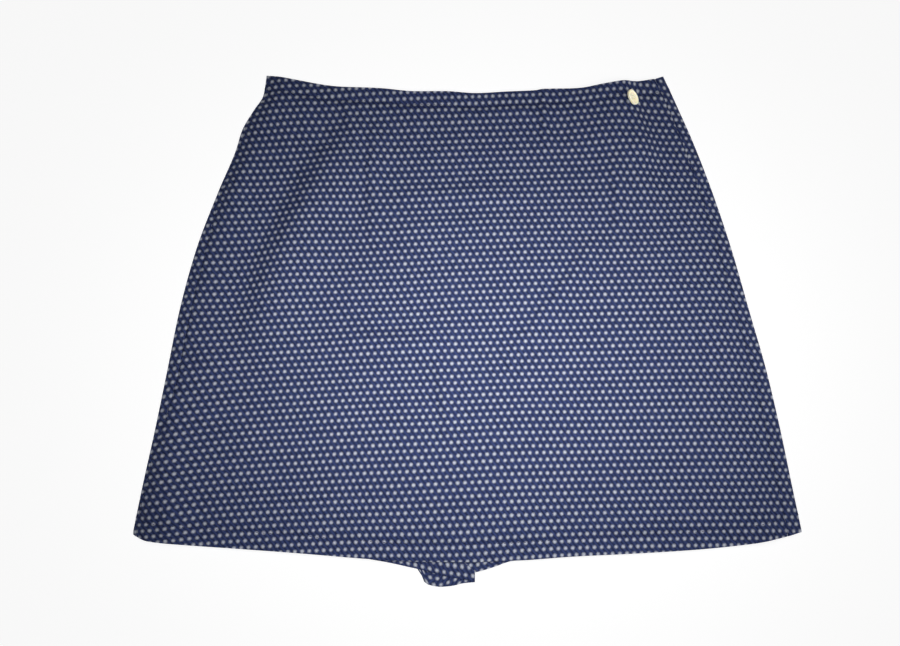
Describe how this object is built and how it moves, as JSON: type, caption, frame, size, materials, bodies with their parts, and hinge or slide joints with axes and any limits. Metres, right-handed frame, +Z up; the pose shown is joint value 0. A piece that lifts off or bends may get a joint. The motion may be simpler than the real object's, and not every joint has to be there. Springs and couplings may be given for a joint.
{
  "type": "skort",
  "caption": "Women's A-line skort laid flat, front up: a one-piece skirt front over short shorts, closed by one button.",
  "frame": {"origin": "centre of the bounding box, on the surface that the garment lies on", "axes": "+X across the garment towards the wearer's left, +Y from the hem to the waist, +Z up from the surface, out of the front"},
  "size_m": [0.596, 0.4745, 0.0231],
  "materials": {
    "printed_cotton": "matt navy cotton with small pale dots in staggered rows",
    "cream_resin": "cream polyester resin, soft gloss"
  },
  "bodies": {
    "root": {"back_right": "printed_cotton", "back_left": "printed_cotton", "shorts_front_right": "printed_cotton", "shorts_front_left": "printed_cotton", "skirt_front": "printed_cotton", "button": "cream_resin"}
  },
  "joints": []
}
